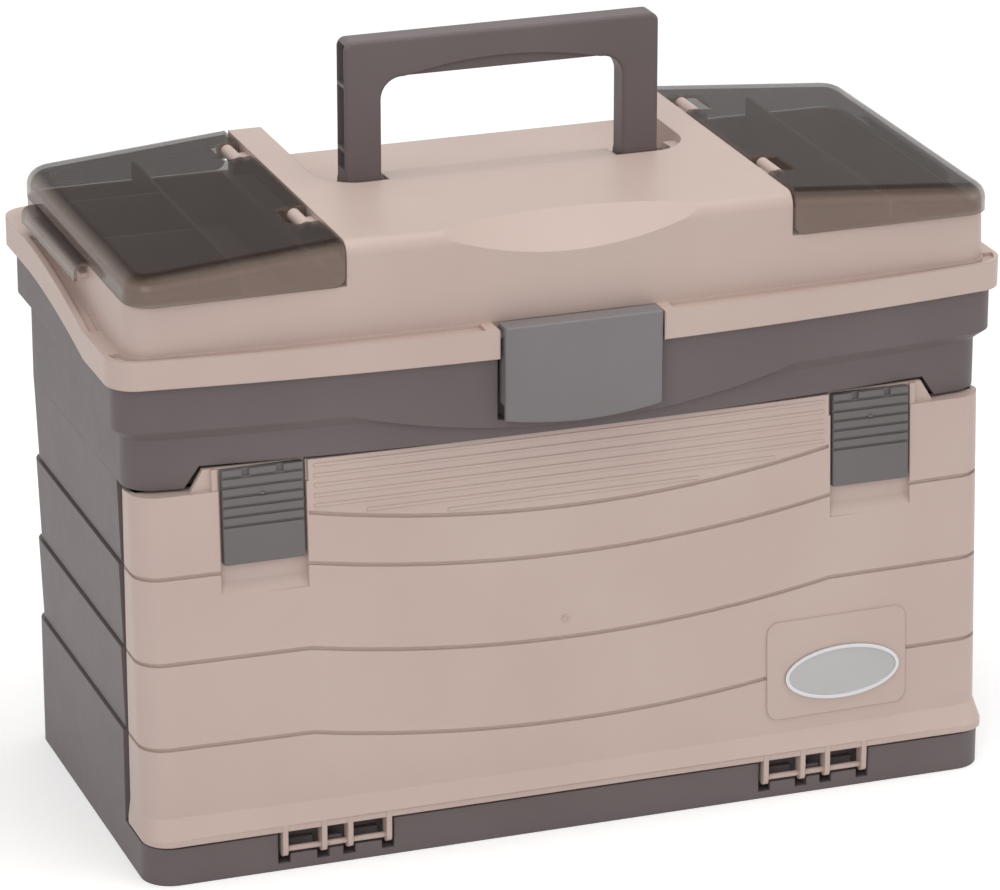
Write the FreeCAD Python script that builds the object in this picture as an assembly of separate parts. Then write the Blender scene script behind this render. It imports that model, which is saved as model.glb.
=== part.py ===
import FreeCAD, Part
import math
import os

from FreeCAD import Vector

os.makedirs("parts", exist_ok=True)

# Fishing tackle cabinet in millimetres. X runs along the length, Y from front to back, Z up.
# The origin is the bottom centre: the base stands on z = 0.

# Overall sizes
half_depth = 124.0
body_half = 244.5
base_level = 75.0
level_pitch = 48.0
level_count = 4
body_top = base_level + (level_count - 1) * level_pitch
mould_wall = 3.0
overrun = 60.0
seat_gap = 0.3
running_gap = 0.08
seam_gap = 1.5
half_share = 0.5
along_share = 0.95
quarter_turn_deg = 90.0
cubic_centimetre = 1000.0

# Cabinet shell
base_setback = 6.0
base_front = -half_depth + base_setback
body_back_setback = 18.0
body_back = half_depth - body_back_setback
base_height = 21.5
side_setback = 45.0
side_front = base_front + side_setback
body_front_radius = 17.0
body_back_radius = 12.0
band_draft = 1.4
band_groove_height = 1.6
band_groove_depth = 2.4
top_ring_width = 15.0
top_rail_depth = 10.0
runner_width = 9.0
runner_thickness = 3.0
floor_thickness = 3.0
base_rib_thickness = 2.5
base_rib_shares = (-0.6, 0.0, 0.6)

# Front door
door_end_gap = 1.0
door_half = body_half - door_end_gap
door_gap = 0.6
door_back = side_front - door_gap
door_radius = 15.0
door_bow = 4.0
door_base_gap = 2.0
door_bottom = base_height + door_base_gap
flange_proud = 2.5
flange_height = 3.5
flange_top = door_bottom + flange_height
cove_height = 10.0
face_low_setback = 7.5
door_lean_run = 8.8
door_corner_top = body_top - seam_gap
flange_front = base_front - flange_proud
face_low = flange_front + face_low_setback
face_high = face_low + door_lean_run
door_lean_share = door_lean_run / (door_corner_top - flange_top)
door_lean_deg = math.degrees(math.atan(door_lean_share))
tab_rise = 12.0
tab_top = door_corner_top + tab_rise
tab_inset = 2.7
tab_end_gap = 29.0
tab_end_slope = 9.0
tab_half_low = door_half - tab_end_gap
tab_half_high = tab_half_low - tab_end_slope
top_rim_depth = 12.0
return_drop = 2.2
return_slope_run = 17.4
return_slope_front = door_back - return_slope_run
ribbed_half = 149.0
groove_height = 2.0
groove_depth = 1.4
kink_x = 150.0
smile_dip = 13.0
ribbed_line_height = 199.0
ribbed_line_dip = 14.0

# Door hinges: beige rods between arms, clipped into the base
hinge_x = 139.5
hinge_inset = 1.0
hinge_y = base_front + hinge_inset
hinge_z = 12.0
hinge_rod_radius = 1.6
arm_inner = 7.4
arm_outer = 29.4
arm_thickness = 3.0
arm_radius = 3.75
arm_slot_side = 2.0
arm_slot_floor = 4.2
window_floor = 9.2
window_depth = 11.0
window_margin = 3.5
window_step_depth = 3.5
window_step_height = 5.5
saddle_half = 4.2
saddle_front = 2.0
finger_thickness = 2.5
finger_height = 3.2

# Slide latches on the front door
latch_end_gap = 69.5
latch_x = door_half - latch_end_gap
slide_half = 22.4
slide_low = 176.5
slide_high = 229.0
slide_proud = 1.0
pocket_half = 24.0
pocket_depth = 4.0
pocket_floor_low = 166.0
pocket_ramp_low = 159.0
pocket_wall = 3.5
slide_travel = 10.0
neck_half = 7.6
neck_low = 190.0
neck_high = 211.0
neck_side_gap = 0.4
retainer_half = 14.0
retainer_thickness = 2.0
retainer_extra = 3.0
slide_rib_count = 6
slide_rib_pitch = 5.4
slide_rib_height = 1.5
slide_rib_depth = 1.2
slide_rib_start = 197.0
slide_notch_x = 9.5
slide_notch_size = 4.0
slide_notch_depth = 2.0

# Label pad and bare badge
label_end_gap = 89.5
label_x = door_half - label_end_gap
label_z = 73.5
label_half_length = 42.0
label_half_height = 28.5
label_proud = 0.8
label_radius = 7.0
badge_shift = 3.0
badge_drop = 4.8
badge_x = label_x + badge_shift
badge_z = label_z - badge_drop
badge_half_length = 34.5
badge_half_height = 15.5
badge_thickness = 1.6

# Drawers
drawer_side_gap = 2.0
drawer_setback = 30.0
drawer_front = base_front + drawer_setback
drawer_back_gap = 3.0
drawer_height = 43.5
drawer_wall = 2.0
drawer_floor = 2.0
drawer_radius = 6.0
drawer_front_wall = 3.0
pull_half = 62.0
pull_reach = 8.0
pull_thickness = 2.5
pull_lip = 7.0
pull_drop = 6.0
row_wall = 1.8
divider_thickness = 1.5
divider_gap = 0.25
divider_top_gap = 4.0
rib_width = 1.6
rib_reach = 2.5
drawer_row_counts = (1, 1, 1, 2)
drawer_cell_counts = (2, 3, 4, 4)

# Swoop: behind this line the lid's skirt and the bin's upper band rise towards the back
swoop_rise = 15.2
swoop_front_run = 76.0
swoop_back_run = 58.0
swoop_start = -half_depth + swoop_front_run
swoop_end = half_depth - swoop_back_run
swoop_power_share = 1.6
swoop_count = 12

# Upper bin
bin_step = 6.0
bin_lower_half = body_half
bin_upper_half = bin_lower_half + bin_step
skirt_overhang = 3.5
lid_half = bin_upper_half + skirt_overhang
bin_floor = 3.0
apron_rise = 12.0
apron_z = body_top + apron_rise
bin_step_rise = 28.0
bin_step_low = body_top + bin_step_rise
bin_step_high = bin_step_low + bin_step
bin_front_step = 4.0
bin_bow_low = 15.0
bin_radius_low = 17.0
bin_radius_high = 15.0
bin_back_radius = 15.0
bin_back_step = 3.0
bin_back_setback = 10.2
bin_lower_back = body_back + bin_back_step
bin_upper_back = half_depth - bin_back_setback
belly_drop = 17.0
belly_half = 128.0
notch_depth = 25.0
notch_back = base_front + notch_depth
notch_gap = 1.5
gallery_floor = 3.0

# Lid
ledge_top = 294.5
ledge_thickness = 3.2
ledge_bottom = ledge_top - ledge_thickness
rim_top = ledge_bottom - seat_gap
skirt_height = 16.0
skirt_bottom = ledge_top - skirt_height
skirt_wall = 2.5
lid_bow = 16.0
lid_radius = 17.0
lid_back_radius = 17.0
wall_radius = 14.0
latch_proud = 2.2
lid_front_mid = -half_depth + latch_proud
lid_front = lid_front_mid + lid_bow
bin_skirt_clear = 4.5
bin_upper_front = lid_front + bin_skirt_clear
bin_lower_front = bin_upper_front + bin_front_step
wall_inset_x = 9.0
wall_front_setback = 23.0
wall_front = -half_depth + wall_front_setback
wall_front_bow = 7.0
wall_back_setback = 14.0
wall_back_lean = 5.0
wall_back = half_depth - wall_back_setback
wall_back_low = wall_back - wall_back_lean
wall_draft = 1.0
well_rim = 323.0
plateau_half = 126.0
plateau_top = 347.0
brow_radius = 8.0
lens_half = 78.0
lens_low = 329.5
lens_high = 345.0
lens_slope_share = 0.81
plateau_back_gap = 3.5
plateau_rim_gap = 2.5
plateau_foot_gap = 0.3
plateau_back_y = wall_back - plateau_back_gap
plateau_rim_y = wall_back - plateau_rim_gap
plateau_foot_y = wall_back_low - plateau_foot_gap
ledge_rim = 2.5
ledge_groove_depth = 2.0
ledge_groove_gap = 0.6
valley_half = 107.0
valley_radius = 26.0
valley_floor_front = 343.4
valley_floor_mid = 342.0
valley_floor_low = 330.4
valley_floor_back = 328.2
valley_entry = 6.0
trough_depth = 2.0
trough_width = 5.0
trough_inset = 3.5
trough_lead = 2.0
trough_tail = 6.0
trough_front = swoop_start - trough_lead
trough_back = swoop_end + trough_tail
well_split_x = 181.0
right_split_x = 186.0
front_cell_length = 82.0
back_cell_length = 62.0
cross_split_front = wall_front + front_cell_length
cross_split_back = wall_back - back_cell_length
split_chamfer = 9.0
split_wall = 2.0
split_foot_share = 0.7
split_top = 334.5
well_inner_wall = 4.0

# Lid hinge at the back
lid_pivot_inset = 5.8
lid_pivot_y = half_depth - lid_pivot_inset
lid_pivot_z = 297.5
knuckle_radius = 3.2
lid_pin_radius = 1.5
lid_hinge_x = 150.0
lid_knuckle_half = 12.0
bin_knuckle_length = 16.0
knuckle_gap = 0.5
knuckle_web_half = 2.2

# Lid latch
flip_half = 44.5
flip_top = 296.0
flip_low = 244.0
flip_sag = 4.5
flip_plate = 2.5
flip_depth = 11.5
flip_cheek_low = 252.0
flip_side_gap = 2.0
flip_pin_inset = 8.0
flip_pin_y = -half_depth + flip_pin_inset
flip_pin_z = 290.0
flip_pin_radius = 2.0
flip_boss_width = 5.5
flip_boss_half = 4.5
flip_boss_drop = 6.0
catch_half = 30.0
catch_z = 250.0
catch_height = 3.0
catch_gap = 0.4
bead_depth = 3.6
bead_height = 3.0
bead_z = 245.8
bin_pocket_inset = 15.0
bin_pocket_floor = -half_depth + bin_pocket_inset
flip_low_gap = 1.0

# Carry handle
handle_half = 90.5
handle_leg = 20.7
handle_top = 421.5
handle_grip = 22.0
handle_depth = 16.0
handle_y = 12.0
handle_z = 339.0
valley_front_run = 22.0
valley_ramp_lead = 8.0
valley_ramp_run = 8.0
valley_front = handle_y - valley_front_run
valley_ramp_start = handle_y + valley_ramp_lead
valley_ramp_end = valley_ramp_start + valley_ramp_run
handle_inner_radius = 12.0
handle_outer_radius = 5.0
handle_edge_radius = 2.0
handle_pin_radius = 2.5
handle_pocket_wall = 2.4
handle_pocket_reach = 14.0
handle_rib = 2.0
handle_rib_heights = (360.2, 396.3)
handle_pocket_low = 349.0
handle_arch_rise = 7.0
handle_arch_depth = 3.0
slot_inner_gap = 4.0
slot_outer_gap = 9.0
slot_front_gap = 1.0
slot_floor = 329.5

# Access doors on the lid
flap_inner_gap = 1.0
flap_inner = plateau_half + flap_inner_gap
flap_outer = lid_half - wall_inset_x - wall_draft
flap_front_lap = 5.5
flap_back_lap = 2.0
flap_front = wall_front - flap_front_lap
flap_back = wall_back + flap_back_lap
flap_low = well_rim + seat_gap
flap_inner_top = 348.0
flap_outer_top = 338.5
flap_wall = 2.0
flap_corner_radius = 15.0
flap_edge_radius = 9.5
flap_lip_chamfer = 2.0
flap_axis_inset = 7.5
flap_axis_x = flap_inner + flap_axis_inset
flap_axis_z = 343.5
flap_boss_radius = 3.6
flap_boss_half = 11.5
flap_web_half = 6.0
flap_cut_half = 14.5
flap_cut_run = 10.0
flap_cut_x = flap_axis_x + flap_cut_run
flap_ear = 2.5
flap_ear_drop = 5.0
flap_ear_run = 4.5
flap_ear_x = flap_axis_x + flap_ear_run
flap_stub_radius = 1.6
flap_stub_reach = 4.0
flap_hinge_places = (-52.0, 69.0)
clip_front_run = 20.0
clip_back_run = 13.0
clip_front = swoop_start + clip_front_run
clip_back = swoop_end + clip_back_run
clip_low = 315.5
clip_high = 325.0
clip_reach = 8.5
clip_plate = 1.8
clip_radius = 5.0
clip_bead_margin = 3.0
flap_foot_radius = 6.0
clip_bead = 3.6
clip_bead_low = 315.5
clip_bead_height = 3.0


def box(x0, x1, y0, y1, z0, z1):
    return Part.makeBox(x1 - x0, y1 - y0, z1 - z0, Vector(x0, y0, z0))


def rod_along_x(x0, x1, y, z, radius):
    return Part.makeCylinder(radius, x1 - x0, Vector(x0, y, z), Vector(1, 0, 0))


def rod_along_y(y0, y1, x, z, radius):
    return Part.makeCylinder(radius, y1 - y0, Vector(x, y0, z), Vector(0, 1, 0))


def plan_wire(half, front, back, front_radius, back_radius, bow, z):
    """Closed plan outline: rounded corners and a front edge that bows towards the viewer."""
    diag_share = 1.0 - math.sqrt(half_share)
    fl = Vector(-half + front_radius, front, z)
    fr = Vector(half - front_radius, front, z)
    mid = Vector(0, front - bow, z)
    right_low = Vector(half, front + front_radius, z)
    right_high = Vector(half, back - back_radius, z)
    back_right = Vector(half - back_radius, back, z)
    back_left = Vector(-half + back_radius, back, z)
    left_high = Vector(-half, back - back_radius, z)
    left_low = Vector(-half, front + front_radius, z)
    cut_front = front_radius * diag_share
    cut_back = back_radius * diag_share
    edges = [
        Part.Arc(fl, mid, fr).toShape() if bow > 0 else Part.LineSegment(fl, fr).toShape(),
        Part.Arc(fr, Vector(half - cut_front, front + cut_front, z), right_low).toShape(),
        Part.LineSegment(right_low, right_high).toShape(),
        Part.Arc(right_high, Vector(half - cut_back, back - cut_back, z), back_right).toShape(),
        Part.LineSegment(back_right, back_left).toShape(),
        Part.Arc(back_left, Vector(-half + cut_back, back - cut_back, z), left_high).toShape(),
        Part.LineSegment(left_high, left_low).toShape(),
        Part.Arc(left_low, Vector(-half + cut_front, front + cut_front, z), fl).toShape(),
    ]
    return Part.Wire(edges)


def plan_prism(half, front, back, front_radius, back_radius, bow, z0, z1):
    wire = plan_wire(half, front, back, front_radius, back_radius, bow, z0)
    return Part.Face(wire).extrude(Vector(0, 0, z1 - z0))


def plan_loft(low, high):
    """Straight-sided body between two plan outlines of the same make."""
    return Part.makeLoft([plan_wire(*low), plan_wire(*high)], True, True)


def prism_along_x(points, x0, x1):
    corners = [Vector(x0, y, z) for y, z in points]
    face = Part.Face(Part.makePolygon(corners + corners[:1]))
    return face.extrude(Vector(x1 - x0, 0, 0))


def prism_along_y(points, y0, y1):
    corners = [Vector(x, y0, z) for x, z in points]
    face = Part.Face(Part.makePolygon(corners + corners[:1]))
    return face.extrude(Vector(0, y1 - y0, 0))


def fuse_all(shapes):
    joined = shapes[0]
    for shape in shapes[1:]:
        joined = joined.fuse(shape)
    return joined.removeSplitter()


def cut_all(shape, tools):
    for tool in tools:
        shape = shape.cut(tool)
    return shape


def mirrored(shape):
    return shape.mirror(Vector(0, 0, 0), Vector(1, 0, 0))


def both_sides(shape):
    return [shape, mirrored(shape)]


def round_edges(shape, radius, wanted):
    edges = [edge for edge in shape.Edges if wanted(edge)]
    return shape.makeFillet(radius, edges)


def edge_runs(edge, axis):
    if len(edge.Vertexes) < 2:
        return False
    run = edge.Vertexes[1].Point.sub(edge.Vertexes[0].Point)
    lengths = [abs(run.x), abs(run.y), abs(run.z)]
    return lengths[axis] > along_share * run.Length


def single(shape):
    """A part made of one body comes back as that solid."""
    solids = shape.Solids
    return solids[0] if len(solids) == 1 else Part.makeCompound(solids)


def save(name, shape):
    body = single(shape)
    print(name, len(body.Solids), round(body.Volume / cubic_centimetre, 1), body.isValid())
    body.exportStep("parts/" + name + ".step")


def front_lean(shape):
    """Tilt a piece drawn upright so that it follows the leaning door face."""
    placed = shape.copy()
    placed.rotate(Vector(0, face_low, flange_top), Vector(1, 0, 0), -door_lean_deg)
    return placed


def level_height(index):
    return base_level + index * level_pitch


def swoop_at(y):
    """Rise of the lid's side line at a depth: none at the front, easing out towards the back."""
    share = (y - swoop_start) / (swoop_end - swoop_start)
    share = min(max(share, 0.0), 1.0)
    return swoop_rise * (1.0 - (1.0 - share) ** swoop_power_share)


def swoop_places():
    step = (swoop_end - swoop_start) / swoop_count
    return [swoop_start + index * step for index in range(swoop_count + 1)]


def swoop_band(z_low, z_high):
    """Full-width slab between two side lines."""
    places = [-half_depth - overrun] + swoop_places() + [half_depth + overrun]
    low = [(y, z_low + swoop_at(y)) for y in places]
    high = [(y, z_high + swoop_at(y)) for y in places]
    return prism_along_x(low + high[::-1], -lid_half - overrun, lid_half + overrun)


def swoop_side(points):
    """Right-hand side piece: one profile in x and z carried along the side line."""
    wires = []
    for y in swoop_places():
        corners = [Vector(x, y, z + swoop_at(y)) for x, z in points]
        wires.append(Part.makePolygon(corners + corners[:1]))
    return Part.makeLoft(wires, True, True)


def make_bands():
    """Side and back walls as stacked bands, each drafted inwards towards the groove below it."""
    bands = []
    low = 0.0
    for index in range(level_count):
        top = level_height(index)
        bottom_share = 0.0 if index == 0 else 1.0
        inset = band_draft * bottom_share
        low_wire = (body_half - inset, base_front + inset, body_back - inset,
                    body_front_radius, body_back_radius, 0.0, low)
        high_wire = (body_half, base_front, body_back,
                     body_front_radius, body_back_radius, 0.0, top)
        bands.append(plan_loft(low_wire, high_wire))
        if index < level_count - 1:
            neck = plan_prism(body_half - band_groove_depth, base_front, body_back - band_groove_depth,
                              body_front_radius, body_back_radius, 0.0, top, top + band_groove_height)
            bands.append(neck)
            low = top + band_groove_height
    return fuse_all(bands)


def base_hinge_cuts(centre):
    """Window and arm slots through the base front for one door hinge."""
    half = arm_outer + window_margin
    cuts = [box(centre - half, centre + half, base_front - overrun, base_front + window_depth,
                window_floor, base_height + overrun)]
    for offset in (-arm_outer, -arm_inner, arm_inner, arm_outer):
        side = arm_thickness * half_share + arm_slot_side
        cuts.append(box(centre + offset - side, centre + offset + side, base_front - overrun,
                        base_front + window_depth, arm_slot_floor, base_height + overrun))
    return cuts


def base_hinge_clip(centre):
    """Saddle under the rod, a finger behind it and the stepped wall inside the window."""
    back = base_front + window_depth
    saddle = box(centre - saddle_half, centre + saddle_half, base_front + saddle_front,
                 back, arm_slot_floor - floor_thickness, hinge_z)
    rod = rod_along_x(centre - overrun, centre + overrun, hinge_y, hinge_z, hinge_rod_radius + running_gap)
    saddle = saddle.cut(rod)
    finger_y = hinge_y + hinge_rod_radius + seat_gap
    finger = box(centre - saddle_half, centre + saddle_half, finger_y, finger_y + finger_thickness,
                 hinge_z - finger_height, hinge_z + finger_height)
    pieces = [saddle, finger]
    for side in (-1, 1):
        inner = arm_inner + arm_slot_side + arm_thickness * half_share
        outer = arm_outer - arm_slot_side - arm_thickness * half_share
        x0, x1 = sorted((centre + side * inner, centre + side * outer))
        pieces.append(box(x0, x1, back - window_step_depth, back, window_floor - floor_thickness,
                          window_floor + window_step_height))
    return pieces


def make_cabinet_shell():
    inner_half = body_half - band_groove_depth - mould_wall
    inner_back = body_back - band_groove_depth - mould_wall
    ring_low = body_top - mould_wall
    shell = make_bands()
    bay = box(-inner_half, inner_half, side_front - overrun, inner_back, base_height, ring_low)
    open_front = box(-body_half - overrun, body_half + overrun, base_front - overrun, side_front,
                     base_height, body_top + overrun)
    ring_hole = box(-body_half + top_ring_width, body_half - top_ring_width,
                    side_front + top_rail_depth, body_back - top_ring_width,
                    ring_low - overrun * half_share, body_top + overrun)
    under = plan_prism(body_half - mould_wall, base_front + mould_wall, body_back - mould_wall,
                       body_front_radius - mould_wall, body_back_radius - mould_wall, 0.0,
                       -overrun, base_height - floor_thickness)
    shell = cut_all(shell, [bay, open_front, ring_hole, under])
    parts = [shell]
    for share in base_rib_shares:
        x = share * body_half
        parts.append(box(x - base_rib_thickness * half_share, x + base_rib_thickness * half_share,
                         base_front + window_depth, body_back - mould_wall,
                         0.0, base_height - floor_thickness))
    for centre in (-hinge_x, hinge_x):
        half = arm_outer + window_margin + mould_wall
        parts.append(box(centre - half, centre + half, base_front + window_depth,
                         base_front + window_depth + mould_wall, arm_slot_floor - floor_thickness,
                         base_height - floor_thickness))
        parts.append(box(centre - half, centre + half, base_front + mould_wall * half_share,
                         base_front + window_depth + mould_wall, arm_slot_floor - floor_thickness,
                         arm_slot_floor))
    shell = fuse_all(parts)
    for centre in (-hinge_x, hinge_x):
        shell = cut_all(shell, base_hinge_cuts(centre))
    clips = []
    for centre in (-hinge_x, hinge_x):
        clips.extend(base_hinge_clip(centre))
    runners = []
    for index in range(1, level_count):
        z = drawer_bottom(index) - seat_gap
        runner = box(inner_half - runner_width, inner_half, side_front, inner_back,
                     z - runner_thickness, z)
        runners.extend(both_sides(runner))
    return fuse_all([shell] + clips + runners)


def drawer_bottom(index):
    return base_height + seat_gap + index * level_pitch


def door_outline(half, front_low, front_high, radius, z_low, z_high, back):
    low = (half, front_low, back, radius, radius * half_share, door_bow, z_low)
    high = (half, front_high, back, radius, radius * half_share, door_bow, z_high)
    return plan_loft(low, high)


def face_at(z):
    return face_low + (z - flange_top) * door_lean_share


def door_core(inset, z_low, z_high):
    """The door's leaning envelope, set in from the face by a distance."""
    return door_outline(door_half - inset, face_at(z_low) + inset, face_at(z_high) + inset,
                        door_radius - inset * half_share, z_low, z_high, door_back + overrun)


def smile_band(z, dip, reach, height):
    """Upright band that follows a line level at its ends and dipping between the kinks."""
    y0 = flange_front - overrun
    low_points = (Vector(-kink_x, y0, z), Vector(0, y0, z - dip), Vector(kink_x, y0, z))
    rise = Vector(0, 0, height)
    ends = (Vector(-reach, y0, z), Vector(reach, y0, z))
    low_arc = Part.Arc(*low_points).toShape()
    high_arc = Part.Arc(*[point.add(rise) for point in low_points]).toShape()
    edges = [
        Part.LineSegment(ends[0], low_points[0]).toShape(),
        low_arc,
        Part.LineSegment(low_points[2], ends[1]).toShape(),
        Part.LineSegment(ends[1], ends[1].add(rise)).toShape(),
        Part.LineSegment(ends[1].add(rise), low_points[2].add(rise)).toShape(),
        high_arc,
        Part.LineSegment(low_points[0].add(rise), ends[0].add(rise)).toShape(),
        Part.LineSegment(ends[0].add(rise), ends[0]).toShape(),
    ]
    wire = Part.Wire(Part.__sortEdges__(edges))
    return Part.Face(wire).extrude(Vector(0, door_back - y0 + overrun, 0))


def ribbed_line_band():
    """The line that dips between the latches and closes the ribbed panel."""
    y0 = flange_front - overrun
    ends = (Vector(-ribbed_half, y0, ribbed_line_height), Vector(ribbed_half, y0, ribbed_line_height))
    mid = Vector(0, y0, ribbed_line_height - ribbed_line_dip)
    rise = Vector(0, 0, groove_height)
    edges = [
        Part.Arc(ends[0], mid, ends[1]).toShape(),
        Part.LineSegment(ends[1], ends[1].add(rise)).toShape(),
        Part.Arc(ends[1].add(rise), mid.add(rise), ends[0].add(rise)).toShape(),
        Part.LineSegment(ends[0].add(rise), ends[0]).toShape(),
    ]
    return Part.Face(Part.Wire(edges)).extrude(Vector(0, door_back - y0 + overrun, 0))


def latch_pocket(centre):
    """Upright pocket with a ramp at its foot, before it leans with the door."""
    deep = face_low + pocket_depth - latch_bow()
    front = face_low - overrun
    flat = box(centre - pocket_half, centre + pocket_half, front, deep, pocket_floor_low,
               tab_top + overrun)
    ramp_points = ((front, pocket_floor_low), (deep, pocket_floor_low),
                   (face_low - latch_bow(), pocket_ramp_low), (front, pocket_ramp_low))
    ramp = prism_along_x(ramp_points, centre - pocket_half, centre + pocket_half)
    return front_lean(flat.fuse(ramp))


def latch_bow():
    """How far the bowed face stands in front of the door's corners at the latches."""
    reach_share = latch_x / (door_half - door_radius)
    return door_bow * (1.0 - reach_share * reach_share)


def latch_backing(centre):
    deep = face_low + pocket_depth - latch_bow()
    half = pocket_half + pocket_wall
    block = box(centre - half, centre + half, face_low, deep + pocket_wall, pocket_ramp_low, tab_top)
    return front_lean(block)


def latch_neck_slot(centre):
    low = neck_low - slide_travel - neck_side_gap
    high = neck_high + neck_side_gap
    half = neck_half + neck_side_gap
    return front_lean(box(centre - half, centre + half, face_low - overrun, door_back, low, high))


def label_frame(shape):
    """Lean a piece with the face and turn it to follow the bow at the label."""
    placed = front_lean(shape)
    reach = door_half - door_radius
    near = door_bow * (label_x - label_half_length) ** 2 / reach ** 2
    far = door_bow * (label_x + label_half_length) ** 2 / reach ** 2
    turn = math.degrees(math.atan((far - near) / (2 * label_half_length)))
    placed.rotate(Vector(label_x, label_face(), label_z), Vector(0, 0, 1), turn)
    return placed


def label_face():
    reach_share = label_x / (door_half - door_radius)
    return face_low - door_bow * (1.0 - reach_share * reach_share)


def make_label_pad():
    front = label_face() - label_proud
    pad = box(label_x - label_half_length, label_x + label_half_length, front,
              front + label_proud + mould_wall * half_share,
              label_z - label_half_height, label_z + label_half_height)
    pad = round_edges(pad, label_radius, lambda edge: edge_runs(edge, 1))
    return label_frame(pad)


def make_badge():
    front = label_face() - label_proud - badge_thickness
    oval = Part.Ellipse(Vector(0, 0, 0), badge_half_length, badge_half_height).toShape()
    plate = Part.Face(Part.Wire([oval])).extrude(Vector(0, 0, badge_thickness))
    plate.rotate(Vector(0, 0, 0), Vector(1, 0, 0), quarter_turn_deg)
    plate.translate(Vector(badge_x, front + badge_thickness, badge_z))
    return label_frame(plate)


def door_arms(centre):
    pieces = []
    for offset in (-arm_outer, -arm_inner, arm_inner, arm_outer):
        x0 = centre + offset - arm_thickness * half_share
        x1 = x0 + arm_thickness
        arm = box(x0, x1, hinge_y - arm_radius, hinge_y + arm_radius, hinge_z, flange_top)
        pieces.append(arm.fuse(rod_along_x(x0, x1, hinge_y, hinge_z, arm_radius)))
    pieces.append(rod_along_x(centre - arm_outer, centre + arm_outer, hinge_y, hinge_z, hinge_rod_radius))
    return pieces


def make_front_door():
    cove_top = flange_top + cove_height
    flange_wire = (door_half + half_share * flange_proud, flange_front, door_back, door_radius,
                   door_radius * half_share, 0.0, door_bottom)
    flange = plan_prism(*flange_wire, flange_top)
    cove_low = flange_wire[:6] + (flange_top,)
    cove_low = cove_low[:5] + (seam_gap * half_share, flange_top)
    cove_high = (door_half, face_at(cove_top), door_back, door_radius,
                 door_radius * half_share, door_bow, cove_top)
    cove = plan_loft(cove_low, cove_high)
    pan = door_outline(door_half, face_at(cove_top), face_high, door_radius,
                       cove_top, door_corner_top, door_back)
    bay = door_core(mould_wall, door_bottom - overrun * half_share, door_corner_top + overrun * half_share)
    pan = flange.fuse(cove).fuse(pan).cut(bay)
    rim = door_core(0.0, door_corner_top - mould_wall, door_corner_top)
    rim_back = face_high + top_rim_depth
    rim = rim.common(box(-door_half, door_half, face_low - overrun, rim_back,
                         door_corner_top - overrun, door_corner_top + overrun))
    tab_low = door_corner_top - mould_wall
    tab = door_core(tab_inset, tab_low, tab_top).cut(door_core(tab_inset + mould_wall, tab_low, tab_top))
    tab_points = ((-tab_half_low, tab_low), (tab_half_low, tab_low), (tab_half_high, tab_top),
                  (-tab_half_high, tab_top))
    tab_shape = prism_along_y(tab_points, face_low - overrun, rim_back)
    tab = tab.common(tab_shape)
    ribbed = door_core(0.0, tab_low, tab_top).cut(door_core(tab_inset + mould_wall, tab_low, tab_top))
    ribbed = ribbed.common(box(-ribbed_half, ribbed_half, face_low - overrun, rim_back,
                               tab_low, tab_top))
    drop_points = ((return_slope_front, door_corner_top), (door_back, door_corner_top - return_drop),
                   (door_back + overrun, door_corner_top - return_drop),
                   (door_back + overrun, door_corner_top + overrun),
                   (return_slope_front, door_corner_top + overrun))
    pan = pan.cut(prism_along_x(drop_points, -door_half - overrun, door_half + overrun))
    backing = [latch_backing(-latch_x), latch_backing(latch_x)]
    backing_limit = door_core(0.0, cove_top, tab_top)
    backing = [block.common(backing_limit) for block in backing]
    arms = door_arms(-hinge_x) + door_arms(hinge_x)
    door = fuse_all([pan, rim, tab, ribbed] + backing + arms)
    for centre in (-latch_x, latch_x):
        door = cut_all(door, [latch_pocket(centre), latch_neck_slot(centre)])
    skin = door_core(groove_depth, cove_top, tab_top)
    for index in range(level_count - 1):
        z = level_height(index)
        door = door.cut(smile_band(z, smile_dip, door_half + overrun, groove_height).cut(skin))
    door = door.cut(ribbed_line_band().cut(skin))
    return door.fuse(make_label_pad()).removeSplitter()


def make_slide_latch(centre):
    face = face_low - latch_bow()
    back = face + pocket_depth - seat_gap
    plate = box(centre - slide_half, centre + slide_half, face - slide_proud, back, slide_low, slide_high)
    plate = round_edges(plate, slide_proud, lambda edge: edge_runs(edge, 2) and edge.BoundBox.YMax < back)
    for index in range(slide_rib_count):
        z = slide_rib_start + index * slide_rib_pitch
        plate = plate.cut(box(centre - slide_half - overrun, centre + slide_half + overrun,
                              face - overrun, face - slide_proud + slide_rib_depth,
                              z, z + slide_rib_height))
    for side in (-1, 1):
        x = centre + side * slide_notch_x
        plate = plate.cut(box(x - slide_notch_size * half_share, x + slide_notch_size * half_share,
                              face - overrun, face - slide_proud + slide_notch_depth,
                              slide_high - slide_notch_size, slide_high + overrun))
    wall_back = face + pocket_depth + pocket_wall
    neck = box(centre - neck_half, centre + neck_half, back, wall_back + seat_gap, neck_low, neck_high)
    retainer = box(centre - retainer_half, centre + retainer_half, wall_back + seat_gap,
                   wall_back + seat_gap + retainer_thickness, neck_low - retainer_extra,
                   neck_high + retainer_extra)
    return front_lean(fuse_all([plate, neck, retainer]))


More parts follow.
